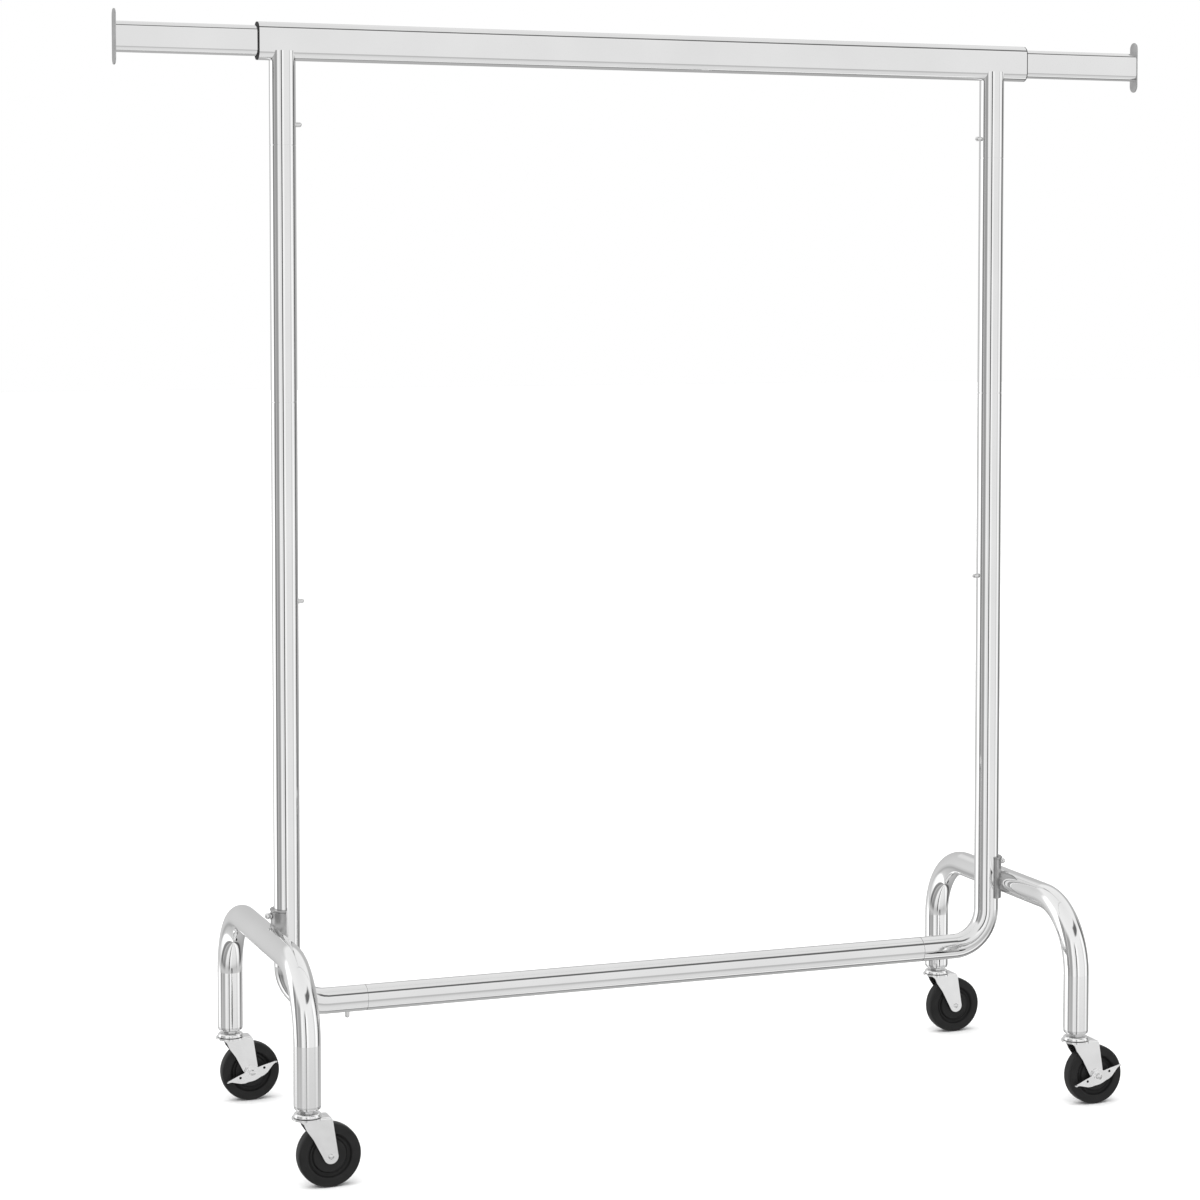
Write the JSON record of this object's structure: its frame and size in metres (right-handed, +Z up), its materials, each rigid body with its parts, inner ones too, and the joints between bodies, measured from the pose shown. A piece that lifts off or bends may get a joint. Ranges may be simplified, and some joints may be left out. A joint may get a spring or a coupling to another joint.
{
  "type": "rolling clothes rack",
  "caption": "Rolling clothes rack: flat-oval hang rail with pull-out end bars on telescoped posts, arched end frames and swivel casters with side-lever brakes.",
  "frame": {"origin": "on the floor, below the middle of the rack with both bars pulled out", "axes": "+X along the hang rail to the right, +Y to the back, +Z up"},
  "size_m": [1.498, 0.466, 1.4935],
  "materials": {
    "chrome": "polished chrome plate on steel tube",
    "bright_zinc": "bright zinc plate on pressed steel",
    "wheel_black": "satin black hard rubber",
    "black_plastic": "moulded black nylon"
  },
  "bodies": {
    "rack": {"hang_rail": "chrome", "base_bar": "chrome", "rail_stub_left": "chrome", "rail_bushing_left": "black_plastic", "post_sleeve_left": "chrome", "post_inner_tube_left": "chrome", "corner_tube_left": "chrome", "base_joiner_left": "chrome", "end_frame_left": "chrome", "saddle_left": "chrome", "rail_stub_right": "chrome", "rail_bushing_right": "black_plastic", "post_sleeve_right": "chrome", "post_inner_tube_right": "chrome", "corner_tube_right": "chrome", "base_joiner_right": "chrome", "end_frame_right": "chrome", "saddle_right": "chrome", "saddle_studs": "bright_zinc", "saddle_cap_nuts": "bright_zinc", "spring_clips": "bright_zinc", "leg_sockets": "bright_zinc", "caster_stems": "bright_zinc", "caster_balls": "bright_zinc", "raceway_cap_front_left": "bright_zinc", "raceway_cap_rear_left": "bright_zinc", "raceway_cap_front_right": "bright_zinc", "raceway_cap_rear_right": "bright_zinc"},
    "extension_left": {"extension_bar_left": "chrome", "end_plate_left": "chrome", "extension_glide_left": "black_plastic"},
    "extension_right": {"extension_bar_right": "chrome", "end_plate_right": "chrome", "extension_glide_right": "black_plastic"},
    "fork_front_left": {"caster_fork_front_left": "bright_zinc", "wheel_axle_front_left": "bright_zinc"},
    "wheel_front_left": {"wheel_front_left": "wheel_black", "wheel_bushing_front_left": "bright_zinc"},
    "fork_rear_left": {"caster_fork_rear_left": "bright_zinc", "wheel_axle_rear_left": "bright_zinc"},
    "wheel_rear_left": {"wheel_rear_left": "wheel_black", "wheel_bushing_rear_left": "bright_zinc"},
    "lever_rear_left": {"brake_lever_rear_left": "bright_zinc", "brake_cam_rear_left": "bright_zinc"},
    "fork_front_right": {"caster_fork_front_right": "bright_zinc", "wheel_axle_front_right": "bright_zinc"},
    "wheel_front_right": {"wheel_front_right": "wheel_black", "wheel_bushing_front_right": "bright_zinc"},
    "lever_front_right": {"brake_lever_front_right": "bright_zinc", "brake_cam_front_right": "bright_zinc"},
    "fork_rear_right": {"caster_fork_rear_right": "bright_zinc", "wheel_axle_rear_right": "bright_zinc"},
    "wheel_rear_right": {"wheel_rear_right": "wheel_black", "wheel_bushing_rear_right": "bright_zinc"},
    "snap_button_left_top": {"snap_button_left_top": "bright_zinc"},
    "snap_button_left_low": {"snap_button_left_low": "bright_zinc"},
    "snap_button_left_base": {"snap_button_left_base": "bright_zinc"},
    "snap_button_right_top": {"snap_button_right_top": "bright_zinc"},
    "snap_button_right_low": {"snap_button_right_low": "bright_zinc"},
    "snap_button_right_base": {"snap_button_right_base": "bright_zinc"}
  },
  "joints": [
    {"name": "extension_left_slide", "type": "slide", "parent": "rack", "child": "extension_left", "axis": [-1, 0, 0], "range_m": [-0.1852, 0]},
    {"name": "extension_right_slide", "type": "slide", "parent": "rack", "child": "extension_right", "axis": [1, 0, 0], "range_m": [-0.1797, 0.0055]},
    {"name": "swivel_front_left", "type": "hinge", "parent": "rack", "child": "fork_front_left", "pos_m": [-0.5555, -0.213, 0.0913], "axis": [0, 0, 1], "continuous": true},
    {"name": "wheel_spin_front_left", "type": "hinge", "parent": "fork_front_left", "child": "wheel_front_left", "pos_m": [-0.5285, -0.213, 0.041], "axis": [0, 1, 0], "continuous": true},
    {"name": "swivel_rear_left", "type": "hinge", "parent": "rack", "child": "fork_rear_left", "pos_m": [-0.5555, 0.213, 0.0913], "axis": [0, 0, 1], "continuous": true},
    {"name": "wheel_spin_rear_left", "type": "hinge", "parent": "fork_rear_left", "child": "wheel_rear_left", "pos_m": [-0.5285, 0.213, 0.041], "axis": [0, 1, 0], "continuous": true},
    {"name": "brake_rear_left", "type": "hinge", "parent": "fork_rear_left", "child": "lever_rear_left", "pos_m": [-0.5285, 0.213, 0.041], "axis": [0, 1, 0], "range_deg": [0, 38]},
    {"name": "swivel_front_right", "type": "hinge", "parent": "rack", "child": "fork_front_right", "pos_m": [0.544, -0.213, 0.0913], "axis": [0, 0, 1], "continuous": true},
    {"name": "wheel_spin_front_right", "type": "hinge", "parent": "fork_front_right", "child": "wheel_front_right", "pos_m": [0.571, -0.213, 0.041], "axis": [0, 1, 0], "continuous": true},
    {"name": "brake_front_right", "type": "hinge", "parent": "fork_front_right", "child": "lever_front_right", "pos_m": [0.571, -0.213, 0.041], "axis": [0, 1, 0], "range_deg": [0, 38]},
    {"name": "swivel_rear_right", "type": "hinge", "parent": "rack", "child": "fork_rear_right", "pos_m": [0.544, 0.213, 0.0913], "axis": [0, 0, 1], "continuous": true},
    {"name": "wheel_spin_rear_right", "type": "hinge", "parent": "fork_rear_right", "child": "wheel_rear_right", "pos_m": [0.571, 0.213, 0.041], "axis": [0, 1, 0], "continuous": true},
    {"name": "button_left_top", "type": "slide", "parent": "rack", "child": "snap_button_left_top", "axis": [-1, 0, 0], "range_m": [0, 0.0097], "stiffness_N_per_m": 300, "springref_m": -0.003},
    {"name": "button_left_low", "type": "slide", "parent": "rack", "child": "snap_button_left_low", "axis": [-1, 0, 0], "range_m": [0, 0.0097], "stiffness_N_per_m": 300, "springref_m": -0.003},
    {"name": "button_left_base", "type": "slide", "parent": "rack", "child": "snap_button_left_base", "axis": [0, 0, 1], "range_m": [0, 0.0097], "stiffness_N_per_m": 300, "springref_m": -0.003},
    {"name": "button_right_top", "type": "slide", "parent": "rack", "child": "snap_button_right_top", "axis": [1, 0, 0], "range_m": [0, 0.0097], "stiffness_N_per_m": 300, "springref_m": -0.003},
    {"name": "button_right_low", "type": "slide", "parent": "rack", "child": "snap_button_right_low", "axis": [1, 0, 0], "range_m": [0, 0.0097], "stiffness_N_per_m": 300, "springref_m": -0.003},
    {"name": "button_right_base", "type": "slide", "parent": "rack", "child": "snap_button_right_base", "axis": [0, 0, 1], "range_m": [0, 0.0097], "stiffness_N_per_m": 300, "springref_m": -0.003}
  ]
}
